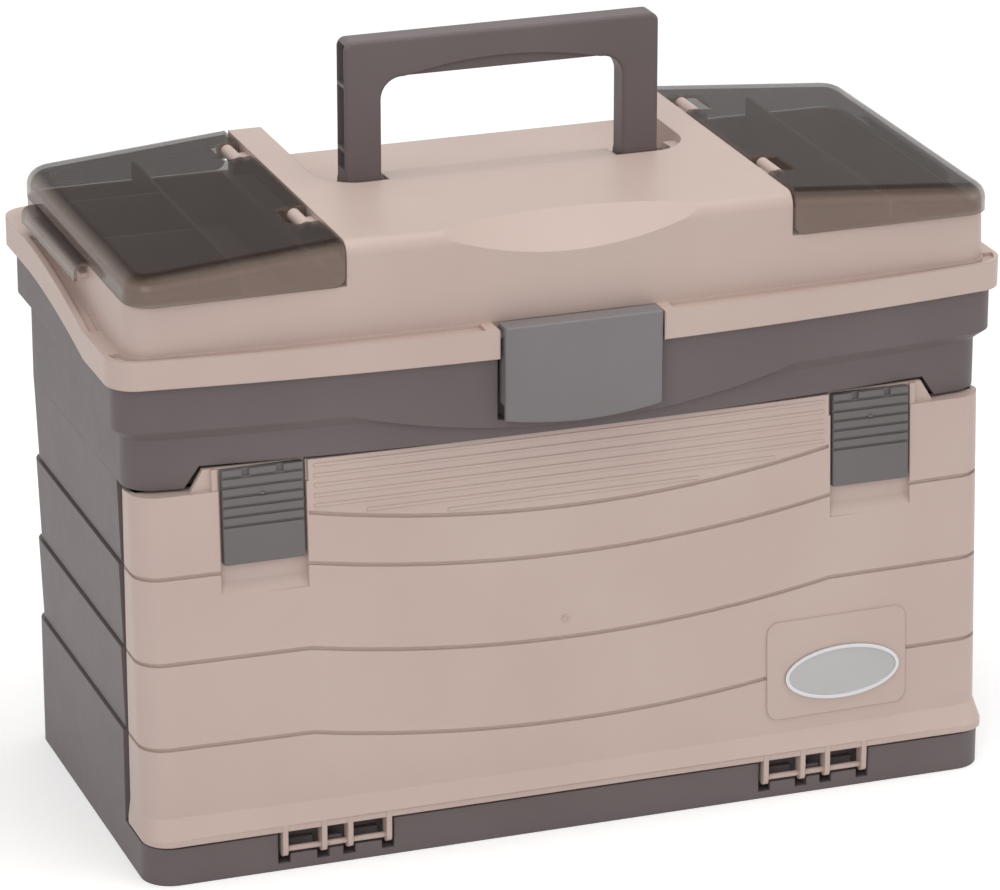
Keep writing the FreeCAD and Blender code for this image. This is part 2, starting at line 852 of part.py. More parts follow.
def make_drawer(index, rows, cells):
    """Open tray with a finger lip, a wall between its rows and ribs that hold the dividers."""
    half = drawer_half()
    back = drawer_back()
    z0 = drawer_bottom(index)
    tray = box(-half, half, drawer_front, back, z0, z0 + drawer_height)
    tray = round_edges(tray, drawer_radius, lambda edge: edge_runs(edge, 2))
    inside = box(-half + drawer_wall, half - drawer_wall, drawer_front + drawer_front_wall,
                 back - drawer_wall, z0 + drawer_floor, z0 + drawer_height + overrun)
    inside = round_edges(inside, drawer_radius - drawer_wall, lambda edge: edge_runs(edge, 2))
    tray = tray.cut(inside)
    lip_top = z0 + drawer_height - pull_drop
    lip = box(-pull_half, pull_half, drawer_front - pull_reach, drawer_front,
              lip_top - pull_thickness, lip_top)
    hook = box(-pull_half, pull_half, drawer_front - pull_reach,
               drawer_front - pull_reach + pull_thickness, lip_top - pull_lip, lip_top)
    pieces = [tray, lip, hook]
    for y in row_edges(rows)[1:-1]:
        pieces.append(box(-half + drawer_wall, half - drawer_wall, y - row_wall * half_share,
                          y + row_wall * half_share, z0 + drawer_floor,
                          z0 + drawer_height - divider_top_gap))
    for x in divider_places(cells):
        for y0, y1 in row_spans(rows):
            pieces.extend(divider_ribs(x, y0, y1, z0))
    return fuse_all(pieces)


def drawer_half():
    return body_half - band_groove_depth - mould_wall - drawer_side_gap


def drawer_back():
    return body_back - band_groove_depth - mould_wall - drawer_back_gap


def row_edges(rows):
    low = drawer_front + drawer_front_wall
    high = drawer_back() - drawer_wall
    return [low + (high - low) * index / rows for index in range(rows + 1)]


def row_spans(rows):
    edges = row_edges(rows)
    spans = []
    for index in range(rows):
        y0 = edges[index] + (row_wall * half_share if index > 0 else 0.0)
        y1 = edges[index + 1] - (row_wall * half_share if index < rows - 1 else 0.0)
        spans.append((y0, y1))
    return spans


def divider_places(cells):
    inner = drawer_half() - drawer_wall
    return [-inner + 2 * inner * index / cells for index in range(1, cells)]


def divider_ribs(x, y0, y1, z0):
    ribs = []
    top = z0 + drawer_height - divider_top_gap
    gap = divider_thickness * half_share + divider_gap
    for side in (-1, 1):
        x0, x1 = sorted((x + side * gap, x + side * (gap + rib_width)))
        ribs.append(box(x0, x1, y0, y0 + rib_reach, z0 + drawer_floor, top))
        ribs.append(box(x0, x1, y1 - rib_reach, y1, z0 + drawer_floor, top))
    return ribs


def make_dividers(index, rows, cells):
    z0 = drawer_bottom(index) + drawer_floor
    top = drawer_bottom(index) + drawer_height - divider_top_gap
    plates = []
    for x in divider_places(cells):
        for y0, y1 in row_spans(rows):
            plates.append(box(x - divider_thickness * half_share, x + divider_thickness * half_share,
                              y0 + divider_gap, y1 - divider_gap, z0, top))
    return Part.makeCompound(plates)


def sagging_panel(half, low, top, y0, y1):
    """Upright panel whose bottom edge dips in the middle."""
    low_arc = Part.Arc(Vector(-half, y0, low), Vector(0, y0, low - flip_sag),
                       Vector(half, y0, low)).toShape()
    corners = [Vector(half, y0, low), Vector(half, y0, top), Vector(-half, y0, top),
               Vector(-half, y0, low)]
    lines = [Part.LineSegment(near, far).toShape() for near, far in zip(corners, corners[1:])]
    panel = Part.Face(Part.Wire(Part.__sortEdges__([low_arc] + lines)))
    return panel.extrude(Vector(0, y1 - y0, 0))


def bin_upper_outline(grow):
    return (bin_upper_half + grow, bin_upper_front - grow, bin_upper_back + grow,
            bin_radius_high + grow, bin_back_radius + grow, lid_bow)


def bin_lower_outline(grow):
    return (bin_lower_half + grow, bin_lower_front - grow, bin_lower_back + grow,
            bin_radius_low + grow, bin_back_radius + grow, bin_bow_low)


def bin_step_ring():
    """Sloped underside of the wide band: level in front, carried up the sides, level behind."""
    low = bin_lower_outline(0.0) + (bin_step_low,)
    high = bin_upper_outline(0.0) + (bin_step_high,)
    ring = plan_loft(low, high)
    reach = lid_half + overrun
    front = ring.common(box(-reach, reach, -half_depth - overrun, swoop_start, body_top, rim_top))
    back = ring.copy()
    back.translate(Vector(0, 0, swoop_rise))
    back = back.common(box(-reach, reach, swoop_end, half_depth + overrun, body_top, rim_top + overrun))
    inner = bin_lower_half - mould_wall * half_share
    side = swoop_side(((inner, bin_step_low), (bin_lower_half, bin_step_low),
                       (bin_upper_half, bin_step_high), (inner, bin_step_high)))
    return [front, back] + both_sides(side)


def bin_outer():
    """Bin body: narrow below the step and wider above it; the step and the rim follow the swoop."""
    top = rim_top + swoop_rise
    lower = plan_prism(*bin_lower_outline(0.0), body_top, top)
    lower = lower.cut(swoop_band(rim_top, rim_top + overrun))
    upper = plan_prism(*bin_upper_outline(0.0), bin_step_low, top)
    upper = upper.common(swoop_band(bin_step_high, rim_top))
    return fuse_all([lower, upper] + bin_step_ring())


def bin_belly():
    """Eye-shaped panel where the proud upper face runs down around the latch."""
    body = plan_prism(*bin_upper_outline(0.0), apron_z, bin_step_high)
    y0 = -half_depth - overrun
    low_arc = Part.Arc(Vector(-belly_half, y0, bin_step_high), Vector(0, y0, bin_step_high - belly_drop),
                       Vector(belly_half, y0, bin_step_high)).toShape()
    top = Part.LineSegment(Vector(belly_half, y0, bin_step_high),
                           Vector(-belly_half, y0, bin_step_high)).toShape()
    lens = Part.Face(Part.Wire(Part.__sortEdges__([low_arc, top])))
    lens = lens.extrude(Vector(0, overrun + half_depth + notch_back, 0))
    return body.common(lens)


def bin_knuckles(centre):
    pieces = []
    wall = bin_upper_back - mould_wall
    for side in (-1, 1):
        near = lid_knuckle_half + knuckle_gap
        x0, x1 = sorted((centre + side * near, centre + side * (near + bin_knuckle_length)))
        barrel = rod_along_x(x0, x1, lid_pivot_y, lid_pivot_z, knuckle_radius)
        web = box(x0, x1, wall, lid_pivot_y, lid_pivot_z - knuckle_web_half,
                  lid_pivot_z + knuckle_web_half)
        pieces.extend([barrel, web])
    return pieces


def make_upper_bin():
    outer = bin_outer()
    outer = outer.fuse(bin_belly())
    tall = rim_top + swoop_rise + overrun
    high_cavity = plan_prism(*bin_lower_outline(-mould_wall), body_top, tall)
    high_cavity = high_cavity.common(box(-lid_half, lid_half, -half_depth, half_depth,
                                         apron_z + gallery_floor, tall))
    wide_cavity = plan_prism(*bin_upper_outline(-mould_wall), bin_step_low, tall)
    wide_cavity = wide_cavity.common(swoop_band(bin_step_high + half_share * bin_step, tall))
    low_cavity = plan_prism(*bin_lower_outline(-mould_wall), body_top, rim_top)
    low_cavity = low_cavity.common(box(-lid_half, lid_half, notch_back + mould_wall, half_depth,
                                       body_top + bin_floor, rim_top))
    block_half = flip_half + flip_side_gap + flip_boss_width + seam_gap + mould_wall
    pocket_block = box(-block_half, block_half, bin_pocket_floor - overrun, bin_pocket_floor + mould_wall,
                       apron_z, rim_top)
    pocket_block = pocket_block.common(bin_outer())
    shell = cut_all(outer, [high_cavity, wide_cavity, low_cavity])
    shell = shell.fuse(pocket_block)
    notch_half_low = tab_half_low + notch_gap
    notch_half_high = tab_half_high + notch_gap
    notch_points = ((-notch_half_low, body_top - overrun), (notch_half_low, body_top - overrun),
                    (notch_half_low, body_top - notch_gap), (notch_half_high, apron_z),
                    (-notch_half_high, apron_z), (-notch_half_low, body_top - notch_gap))
    notch = prism_along_y(notch_points, -half_depth - overrun, notch_back)
    pocket = sagging_panel(flip_half + flip_side_gap, flip_low - flip_low_gap, rim_top + overrun,
                           -half_depth - overrun, bin_pocket_floor)
    boss_room = flip_half + flip_side_gap + flip_boss_width + seam_gap
    boss_pocket = box(-boss_room, boss_room, -half_depth - overrun, bin_pocket_floor,
                      ledge_bottom - flip_boss_drop - seam_gap, rim_top + overrun)
    shell = cut_all(shell, [notch, pocket, boss_pocket])
    bead_back = -half_depth + flip_plate + bead_depth
    catch = box(-catch_half, catch_half, bead_back + catch_gap, bin_pocket_floor + mould_wall * half_share,
                catch_z, catch_z + catch_height)
    for piece in [catch] + bin_knuckles(-lid_hinge_x) + bin_knuckles(lid_hinge_x):
        shell = shell.fuse(piece)
    return cut_all(shell, [lid_pin_tool(-lid_hinge_x, 0.0), lid_pin_tool(lid_hinge_x, 0.0)])


def lid_pin_tool(centre, grow):
    half = lid_knuckle_half + knuckle_gap + bin_knuckle_length
    return rod_along_x(centre - half, centre + half, lid_pivot_y, lid_pivot_z, lid_pin_radius + grow)


def lid_wall_wires(inset, z_low, z_high):
    """Plan outlines at the foot and the rim of the lid's inner wall."""
    base_half = lid_half - wall_inset_x - inset
    radius = wall_radius - inset
    low = (base_half, wall_front + inset, wall_back_low - inset, radius, radius,
           wall_front_bow, z_low)
    high = (base_half - wall_draft, wall_front + inset, wall_back - inset, radius, radius,
            wall_front_bow - wall_draft, z_high)
    return low, high


def plateau_profile(inset):
    outline = [(-half_depth, ledge_bottom), (-half_depth, plateau_top), (plateau_back_y, plateau_top),
               (plateau_rim_y, well_rim), (plateau_foot_y, ledge_bottom)]
    corners = [Vector(0, y, z) for y, z in outline]
    wire = Part.makePolygon(corners + corners[:1])
    if inset > 0:
        wire = wire.makeOffset2D(-inset)
    return Part.Face(wire)


def brow_lens(inset):
    """Slanted facet on the brow: a dipping arc in front view, carried back and upwards."""
    y0 = wall_front - wall_front_bow + wall_draft
    ends = (Vector(-lens_half, y0, lens_high), Vector(lens_half, y0, lens_high))
    rise = Vector(0, 0, overrun)
    edges = [
        Part.Arc(ends[0], Vector(0, y0, lens_low), ends[1]).toShape(),
        Part.LineSegment(ends[1], ends[1].add(rise)).toShape(),
        Part.LineSegment(ends[1].add(rise), ends[0].add(rise)).toShape(),
        Part.LineSegment(ends[0].add(rise), ends[0]).toShape(),
    ]
    facet = Part.Face(Part.Wire(edges))
    lead = overrun * half_share
    slope = math.hypot(1.0, lens_slope_share)
    facet.translate(Vector(0, -lead + inset * lens_slope_share / slope,
                           -lead * lens_slope_share - inset / slope))
    return facet.extrude(Vector(0, overrun, overrun * lens_slope_share))


def plateau_block(inset):
    """Centre block: its front bows with the lid wall and its top front edge is a rounded brow."""
    face = plateau_profile(inset)
    half = plateau_half - inset
    face.translate(Vector(-half, 0, 0))
    block = face.extrude(Vector(2 * half, 0, 0))
    rim = lid_wall_wires(inset, ledge_bottom, well_rim)[1]
    block = block.common(plan_prism(*rim[:6], ledge_bottom, plateau_top))
    top = plateau_top - inset
    block = round_edges(block, brow_radius - inset,
                        lambda edge: edge.BoundBox.ZMin > top - running_gap
                        and edge.BoundBox.YMax < valley_front)
    return block.cut(brow_lens(inset))


def valley_tool(grow):
    """Room for the folded handle: a U in plan whose floor falls towards the back."""
    half = valley_half + grow
    front = valley_front - grow
    plan = plan_prism(half, front, half_depth + overrun, valley_radius, valley_radius, 0.0,
                      valley_floor_back - overrun, handle_top)
    floor = ((front, plateau_top - grow), (valley_front + valley_entry, valley_floor_front - grow),
             (valley_ramp_start, valley_floor_mid - grow), (valley_ramp_end, valley_floor_low - grow),
             (plateau_rim_y + overrun, valley_floor_back - grow),
             (plateau_rim_y + overrun, handle_top), (front, handle_top))
    return plan.common(prism_along_x(floor, -half - overrun, half + overrun))


def handle_slots(grow):
    inner = handle_half - handle_leg - slot_inner_gap - grow
    outer = handle_half + slot_outer_gap + grow
    front = handle_y - handle_depth * half_share - slot_front_gap - grow
    back = valley_ramp_end + grow
    slot = box(inner, outer, front, back, slot_floor - grow, plateau_top + overrun)
    return both_sides(slot)


def flap_hinge_bosses(side):
    """Lid side of an access door hinge: short barrels standing off the centre block."""
    pieces = []
    for y in flap_hinge_places:
        barrel = rod_along_y(y - flap_boss_half, y + flap_boss_half, side * flap_axis_x,
                             flap_axis_z, flap_boss_radius)
        x0, x1 = sorted((side * (plateau_half - mould_wall), side * flap_axis_x))
        web = box(x0, x1, y - flap_web_half, y + flap_web_half,
                  flap_axis_z - flap_boss_radius, flap_axis_z)
        pieces.extend([barrel, web])
    return pieces


def flap_bores(side):
    reach = flap_stub_reach + running_gap + seat_gap
    bores = []
    for y in flap_hinge_places:
        for end in (-1, 1):
            y0, y1 = sorted((y + end * flap_boss_half, y + end * (flap_boss_half - reach)))
            bores.append(rod_along_y(y0, y1, side * flap_axis_x, flap_axis_z,
                                     flap_stub_radius + running_gap))
    return bores


def well_spaces():
    """Compartments under the access doors, with the walls that stand between them."""
    low, high = lid_wall_wires(mould_wall, ledge_top, well_rim + split_wall)
    inside = plan_loft(low, high)
    reach = plateau_half + well_inner_wall
    middle = box(-reach, reach, -half_depth, half_depth, ledge_bottom, well_rim + overrun)
    return inside.cut(middle)


def well_walls():
    half_wall = split_wall * half_share
    low = ledge_top - ledge_thickness * half_share
    y0 = wall_front + mould_wall
    y1 = wall_back - mould_wall
    foot = y1 - wall_back_lean + mould_wall * half_share
    turn = low + split_foot_share * (well_rim - low)
    run = ((y0, low), (foot, low), (y1, turn), (y1, split_top), (y0, split_top))
    pieces = [prism_along_x(run, x - half_wall, x + half_wall) for x in (-well_split_x, right_split_x)]
    outer = lid_half - wall_inset_x - mould_wall
    points = ((-outer, low), (-outer, well_rim), (-outer + split_chamfer, split_top),
              (-well_split_x, split_top), (-well_split_x, low))
    for y in (cross_split_front, cross_split_back):
        pieces.append(prism_along_y(points, y - half_wall, y + half_wall))
    return pieces


def lid_outline(inset):
    return (lid_half - inset, lid_front + inset, half_depth - inset, lid_radius - inset,
            lid_back_radius - inset, lid_bow)


def side_trough():
    """Shallow drain channel along the side ledge; it follows the swoop and fades out behind."""
    reach = lid_half - trough_inset
    channel = box(reach - trough_width, reach, trough_front, trough_back, skirt_bottom, well_rim)
    return channel.common(swoop_band(ledge_top - trough_depth, well_rim))


def front_groove():
    """Drain groove on the front ledge, from the corner to the latch, behind a narrow rim."""
    z0 = ledge_top - ledge_groove_depth
    z1 = ledge_top + overrun
    room = plan_prism(*lid_outline(ledge_rim), z0, z1)
    wall = lid_wall_wires(-ledge_groove_gap, ledge_bottom, well_rim)[0]
    room = room.cut(plan_prism(*wall[:6], z0, z1))
    near = flip_half + flip_side_gap + flip_boss_width + seam_gap
    return room.common(box(near, lid_half, -half_depth, lid_front + lid_radius, z0, z1))


def make_lid():
    top = ledge_top + swoop_rise
    outline = plan_prism(*lid_outline(0.0), skirt_bottom, top)
    room = plan_prism(*lid_outline(skirt_wall), skirt_bottom - overrun, top + overrun)
    skirt = outline.cut(room).common(swoop_band(skirt_bottom, ledge_top))
    low, high = lid_wall_wires(0.0, ledge_bottom, well_rim)
    walls = plan_loft(low, high)
    inner_low, inner_high = lid_wall_wires(mould_wall * half_share, ledge_bottom - overrun, well_rim)
    ledge = outline.cut(plan_prism(*inner_low[:6], ledge_bottom - overrun, top + overrun))
    ledge = ledge.common(swoop_band(ledge_bottom, ledge_top))
    lid = fuse_all([skirt, ledge, walls, plateau_block(0.0)])
    lid = lid.cut(well_spaces())
    cavity = plateau_block(mould_wall).fuse(
        plateau_block(mould_wall).common(box(-plateau_half, plateau_half, -half_depth, half_depth,
                                             ledge_bottom, ledge_top)))
    floor_hole = box(-plateau_half + mould_wall, plateau_half - mould_wall, wall_front,
                     plateau_foot_y - mould_wall, ledge_bottom - overrun * half_share,
                     ledge_top + mould_wall)
    cavity = cavity.fuse(floor_hole)
    cavity = cut_all(cavity, [valley_tool(mould_wall)] + handle_slots(mould_wall))
    lid = lid.cut(cavity)
    lid = cut_all(lid, [valley_tool(0.0)] + handle_slots(0.0))
    lid = cut_all(lid, both_sides(side_trough()) + both_sides(front_groove()))
    flip_room = flip_half + flip_side_gap
    flip_notch = box(-flip_room, flip_room, -half_depth - overrun,
                     wall_front - wall_front_bow + wall_draft * half_share,
                     skirt_bottom - overrun, ledge_top)
    lid = lid.cut(flip_notch)
    extras = [flap for side in (-1, 1) for flap in flap_hinge_bosses(side)]
    extras.extend(well_walls())
    boss = box(flip_room, flip_room + flip_boss_width, flip_pin_y - flip_boss_half,
               flip_pin_y + flip_boss_half, ledge_bottom - flip_boss_drop, ledge_top)
    extras.extend(both_sides(boss))
    for centre in (-lid_hinge_x, lid_hinge_x):
        x0 = centre - lid_knuckle_half
        x1 = centre + lid_knuckle_half
        extras.append(rod_along_x(x0, x1, lid_pivot_y, lid_pivot_z, knuckle_radius))
        extras.append(box(x0, x1, lid_pivot_y, half_depth - skirt_wall * half_share,
                          lid_pivot_z, ledge_bottom + swoop_rise + ledge_thickness * half_share))
    bead_x = flap_outer - mould_wall * half_share
    bead = box(bead_x, flap_outer + clip_bead, clip_front + clip_bead_margin,
               clip_back - clip_bead_margin, clip_bead_low, clip_bead_low + clip_bead_height)
    extras.extend(both_sides(bead))
    lid = fuse_all([lid] + extras)
    tools = [lid_pin_tool(-lid_hinge_x, running_gap), lid_pin_tool(lid_hinge_x, running_gap)]
    tools.append(flip_pin_solid())
    tools.extend(handle_pin_solids())
    for side in (-1, 1):
        tools.extend(flap_bores(side))
    return cut_all(lid, tools)


def flip_pin_solid():
    reach = flip_half + flip_side_gap + flip_boss_width
    return rod_along_x(-reach, reach, flip_pin_y, flip_pin_z, flip_pin_radius)


def handle_pin_solids():
    inner = handle_half - handle_leg - slot_inner_gap - mould_wall
    outer = handle_half + slot_outer_gap + mould_wall
    return both_sides(rod_along_x(inner, outer, handle_y, handle_z, handle_pin_radius))


def make_lid_latch():
    front = -half_depth
    plate = sagging_panel(flip_half, flip_low, flip_top, front, front + flip_plate)
    top = box(-flip_half, flip_half, front, front + flip_depth, flip_top - flip_plate, flip_top)
    cheek = box(flip_half - flip_plate, flip_half, front, front + flip_depth, flip_cheek_low, flip_top)
    latch = fuse_all([plate, top] + both_sides(cheek))
    edge_round = flip_plate * half_share
    latch = round_edges(latch, edge_round, lambda edge: edge.BoundBox.YMax < front + running_gap)
    bead = box(-catch_half, catch_half, front + flip_plate * half_share,
               front + flip_plate + bead_depth, bead_z, bead_z + bead_height)
    latch = fuse_all([latch, bead])
    hole = rod_along_x(-flip_half - overrun, flip_half + overrun, flip_pin_y, flip_pin_z,
                       flip_pin_radius + running_gap * half_share)
    return latch.cut(hole)


def make_handle():
    """U-shaped bail with rounded feet, ribbed pockets on its outer sides and an arched grip."""
    inner = handle_half - handle_leg
    inner_top = handle_top - handle_grip
    y0 = handle_y - handle_depth * half_share
    y1 = handle_y + handle_depth * half_share
    block = box(-handle_half, handle_half, y0, y1, handle_z, handle_top)
    block = round_edges(block, handle_outer_radius,
                        lambda edge: edge_runs(edge, 1) and edge.BoundBox.ZMin > handle_z + running_gap)
    room = box(-inner, inner, y0 - overrun, y1 + overrun, handle_z - overrun, inner_top)
    room = round_edges(room, handle_inner_radius,
                       lambda edge: edge_runs(edge, 1) and edge.BoundBox.ZMin > handle_z)
    bail = block.cut(room)
    bail = round_edges(bail, handle_edge_radius,
                       lambda edge: edge.BoundBox.YLength < running_gap and edge.BoundBox.ZMax > handle_z
                       and edge.BoundBox.ZMin > handle_z - running_gap
                       and edge.Length > handle_outer_radius)
    feet = []
    for side in (-1, 1):
        x0, x1 = sorted((side * inner, side * handle_half))
        feet.append(rod_along_x(x0, x1, handle_y, handle_z, handle_depth * half_share))
    bail = fuse_all([bail] + feet)
    edges = list(handle_rib_heights)
    lows = [handle_pocket_low] + [z + handle_rib * half_share for z in edges]
    highs = [z - handle_rib * half_share for z in edges] + [handle_top - handle_pocket_wall]
    pockets = []
    for z0, z1 in zip(lows, highs):
        pocket = box(handle_half - handle_pocket_reach, handle_half + overrun,
                     y0 + handle_pocket_wall, y1 - handle_pocket_wall, z0, z1)
        pockets.extend(both_sides(pocket))
    bail = cut_all(bail, pockets)
    arch_reach = inner - handle_inner_radius
    arch_points = (Vector(-arch_reach, y0 - overrun, inner_top),
                   Vector(0, y0 - overrun, inner_top + handle_arch_rise),
                   Vector(arch_reach, y0 - overrun, inner_top))
    arch = Part.Arc(*arch_points).toShape()
    chord = Part.LineSegment(arch_points[2], arch_points[0]).toShape()
    scoop = Part.Face(Part.Wire(Part.__sortEdges__([arch, chord])))
    scoop = scoop.extrude(Vector(0, overrun + handle_arch_depth, 0))
    bail = bail.cut(scoop)
    holes = both_sides(rod_along_x(inner - overrun * half_share, handle_half + overrun * half_share,
                                   handle_y, handle_z, handle_pin_radius + running_gap * half_share))
    return cut_all(bail, holes)


def flap_body(inset):
    """Access door envelope for the right side: sloped top, big outer corners, rounded edges."""
    inner = flap_inner + inset
    outer = flap_outer - inset
    front = flap_front + inset
    back = flap_back - inset
    low = flap_low - inset * 2
    points = ((inner, low), (outer, low), (outer, flap_outer_top - inset),
              (inner, flap_inner_top - inset))
    body = prism_along_y(points, front, back)
    corner = flap_corner_radius - inset
    body = round_edges(body, corner,
                       lambda edge: edge_runs(edge, 2) and edge.BoundBox.XMin > outer - running_gap)
    edge_radius = flap_edge_radius - inset * half_share
    top = flap_outer_top - inset - running_gap
    return round_edges(body, edge_radius,
                       lambda edge: edge.BoundBox.ZMin > top and edge.BoundBox.XMax > inner + running_gap)


def clip_bar():
    """Grip along the outer edge of an access door: a C in section, rounded on top, open at its ends."""
    clip_x = flap_outer + clip_reach
    inner_x = clip_x - clip_plate
    bar = box(flap_outer - flap_wall, clip_x, clip_front, clip_back, clip_low, clip_high)
    bar = round_edges(bar, clip_radius,
                      lambda edge: edge_runs(edge, 1) and edge.BoundBox.XMin > inner_x
                      and edge.BoundBox.ZMin > flap_low)
    room = box(flap_outer - flap_wall - overrun, inner_x, clip_front - overrun, clip_back + overrun,
               clip_low - overrun, flap_low)
    room = round_edges(room, clip_radius - clip_plate,
                       lambda edge: edge_runs(edge, 1) and edge.BoundBox.XMin > flap_outer
                       and edge.BoundBox.ZMin > clip_low)
    return bar.cut(room)


def make_flap(side):
    flap = flap_body(0.0).cut(flap_body(flap_wall))
    lip_trim = box(flap_inner - overrun, flap_inner + flap_wall + running_gap, flap_front + flap_wall,
                   flap_back - flap_wall, flap_low - overrun, flap_axis_z - flap_ear_drop)
    flap = flap.cut(lip_trim)
    foot_x = flap_inner + flap_foot_radius
    foot = box(flap_inner - overrun, foot_x, flap_front - overrun, flap_back + overrun,
               flap_low - overrun, flap_low + flap_foot_radius)
    foot = foot.cut(rod_along_y(flap_front - overrun, flap_back + overrun, foot_x,
                                flap_low + flap_foot_radius, flap_foot_radius))
    flap = flap.cut(foot)
    pieces = [flap]
    for y in flap_hinge_places:
        pieces[0] = pieces[0].cut(box(flap_inner - overrun, flap_cut_x, y - flap_cut_half,
                                      y + flap_cut_half, flap_axis_z - flap_ear_drop,
                                      flap_inner_top + overrun))
        for end in (-1, 1):
            e0, e1 = sorted((y + end * flap_cut_half, y + end * (flap_cut_half + flap_ear)))
            ear = box(flap_inner, flap_ear_x, e0, e1, flap_axis_z - flap_ear_drop,
                      flap_inner_top - flap_wall * half_share)
            s0, s1 = sorted((y + end * (flap_cut_half + flap_ear),
                             y + end * (flap_boss_half - flap_stub_reach)))
            stub = rod_along_y(s0, s1, flap_axis_x, flap_axis_z, flap_stub_radius)
            pieces.extend([ear, stub])
    pieces.append(clip_bar())
    flap = fuse_all(pieces)
    lip_points = ((flap_inner - flap_wall, flap_inner_top + flap_wall),
                  (flap_inner - flap_wall, flap_inner_top - flap_lip_chamfer - flap_wall),
                  (flap_inner + flap_lip_chamfer + flap_wall, flap_inner_top + flap_wall))
    flap = flap.cut(prism_along_y(lip_points, flap_front - overrun, flap_back + overrun))
    return flap if side > 0 else mirrored(flap)


save("cabinet_shell", make_cabinet_shell())
save("upper_bin", make_upper_bin())
save("lid", make_lid())
save("left_access_door", make_flap(-1))
save("right_access_door", make_flap(1))
save("carry_handle", make_handle())
save("handle_pins", Part.makeCompound(handle_pin_solids()))
save("lid_latch", make_lid_latch())
save("lid_latch_pin", flip_pin_solid())
save("lid_hinge_pins", Part.makeCompound([lid_pin_tool(-lid_hinge_x, 0.0), lid_pin_tool(lid_hinge_x, 0.0)]))
save("front_door", make_front_door())
save("badge_plate", make_badge())
save("left_door_latch", make_slide_latch(-latch_x))
save("right_door_latch", make_slide_latch(latch_x))
for drawer_index in range(level_count):
    drawer_rows = drawer_row_counts[drawer_index]
    drawer_cells = drawer_cell_counts[drawer_index]
    number = str(drawer_index + 1)
    save("drawer_" + number, make_drawer(drawer_index, drawer_rows, drawer_cells))
    save("drawer_" + number + "_dividers", make_dividers(drawer_index, drawer_rows, drawer_cells))
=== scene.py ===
# %% [markdown]
# # A moulded tackle cabinet
# The cabinet stands shut, with its carry handle up. Its hard shells come from a packed
# model that is loaded as a fixed frame, so each of them already has its true size and
# place. What is left to do here is the look: the camera, the light, the plastics, and
# the fine relief that a mould leaves on them.

# %% Load the frame
import math

import bpy
from mathutils import Matrix, Vector


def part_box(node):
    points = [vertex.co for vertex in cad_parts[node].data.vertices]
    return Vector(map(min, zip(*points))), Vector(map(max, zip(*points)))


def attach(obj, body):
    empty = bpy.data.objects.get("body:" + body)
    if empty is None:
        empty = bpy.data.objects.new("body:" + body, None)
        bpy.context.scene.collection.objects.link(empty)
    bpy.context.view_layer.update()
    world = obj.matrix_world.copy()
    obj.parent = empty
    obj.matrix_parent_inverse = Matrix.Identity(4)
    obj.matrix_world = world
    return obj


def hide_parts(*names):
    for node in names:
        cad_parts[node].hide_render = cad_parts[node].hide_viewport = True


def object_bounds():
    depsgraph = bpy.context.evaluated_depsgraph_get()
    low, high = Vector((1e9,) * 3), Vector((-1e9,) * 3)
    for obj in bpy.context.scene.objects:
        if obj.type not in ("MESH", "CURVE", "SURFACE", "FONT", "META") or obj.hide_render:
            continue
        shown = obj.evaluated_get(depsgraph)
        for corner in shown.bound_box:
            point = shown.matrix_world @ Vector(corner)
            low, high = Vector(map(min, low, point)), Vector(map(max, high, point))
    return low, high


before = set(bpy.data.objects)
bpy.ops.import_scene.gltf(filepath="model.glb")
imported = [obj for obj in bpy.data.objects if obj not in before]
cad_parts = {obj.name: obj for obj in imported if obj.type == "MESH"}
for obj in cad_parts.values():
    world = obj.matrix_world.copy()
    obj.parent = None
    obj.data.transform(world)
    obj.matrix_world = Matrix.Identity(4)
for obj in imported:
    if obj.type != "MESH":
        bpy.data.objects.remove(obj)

cad_low, cad_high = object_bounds()
mm = 0.001
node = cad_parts
print("nodes:", len(node), "length in mm:", round((cad_high.x - cad_low.x) / mm))

# %% [markdown]
# ## Camera
# A photograph of a product is often taken from far away with a long lens, which keeps
# the upright edges almost parallel. The camera stands three metres off, to the left of
# the front and a little above, and looks at the middle of the cabinet.

# %% Camera
camera_place = Vector((-932.9, -2594.6, 1211.5)) * mm
camera_target = Vector((13.0, 45.8, 164.0)) * mm
camera_lens = 190.3
sensor_width = 36.0
nearest, farthest = 0.1, 50.0

bpy.ops.object.camera_add(location=camera_place)
camera = bpy.context.object
camera.data.lens = camera_lens
camera.data.sensor_width = sensor_width
camera.rotation_mode = "QUATERNION"
camera.rotation_quaternion = (camera_target - camera_place).to_track_quat("-Z", "Y")
camera.data.clip_start = nearest
camera.data.clip_end = farthest
bpy.context.scene.camera = camera
print("camera distance in mm:", round((camera_target - camera_place).length / mm))

# %% [markdown]
# ## Building materials from nodes
# Every finish below is a small network of shader nodes. One helper adds a node, sets it
# up and links it, so that a material reads as a list of what feeds what. Colours are
# written as the hex values a painter would pick, and turned to linear light once.


# %% Node helpers
def linear(hex_colour):
    """A colour such as C6B2A8, as seen on a screen, in the linear light shaders use."""
    parts = [int(hex_colour[i:i + 2], 16) / 255 for i in (0, 2, 4)]
    return tuple(c / 12.92 if c < 0.04045 else ((c + 0.055) / 1.055) ** 2.4 for c in parts) + (1.0,)


def add(tree, kind, settings=(), inputs=(), links=()):
    """Adds one node: settings are its properties, inputs its values, links what feeds it."""
    made = tree.nodes.new(kind)
    for name, value in dict(settings).items():
        setattr(made, name, value)
    for name, value in dict(inputs).items():
        made.inputs[name].default_value = value
    for name, source in dict(links).items():
        tree.links.new(source, made.inputs[name])
    return made


def new_material(name):
    """An empty material with its output and the object coordinates that patterns read."""
    made = bpy.data.materials.new(name)
    made.use_nodes = True
    tree = made.node_tree
    tree.nodes.clear()
    output = add(tree, "ShaderNodeOutputMaterial")
    place = add(tree, "ShaderNodeTexCoord").outputs["Object"]
    return made, tree, output, place


